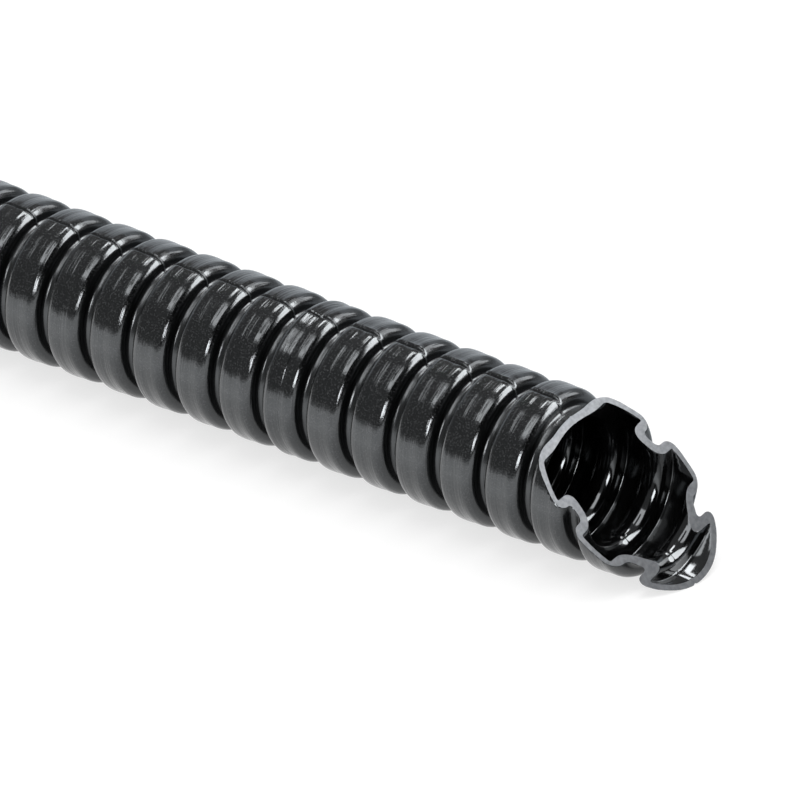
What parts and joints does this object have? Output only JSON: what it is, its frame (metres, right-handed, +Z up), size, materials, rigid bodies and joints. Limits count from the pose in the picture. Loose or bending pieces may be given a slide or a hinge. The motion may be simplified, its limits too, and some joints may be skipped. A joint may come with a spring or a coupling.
{
  "type": "corrugated conduit",
  "caption": "Cut length of annular corrugated plastic conduit, a ribbed flexible tube that cables run through, square at one end and cut at a slant at the other.",
  "frame": {"origin": "centre of the bore at the square-cut end", "axes": "+X along the tube from the square end to the slanted end, +Z up as the tube lies on a level floor"},
  "size_m": [1, 0.01, 0.01],
  "materials": {
    "black_plastic": "glossy black moulded polyamide with a dull cut edge"
  },
  "bodies": {
    "root": {"conduit_tube": "black_plastic"}
  },
  "joints": []
}
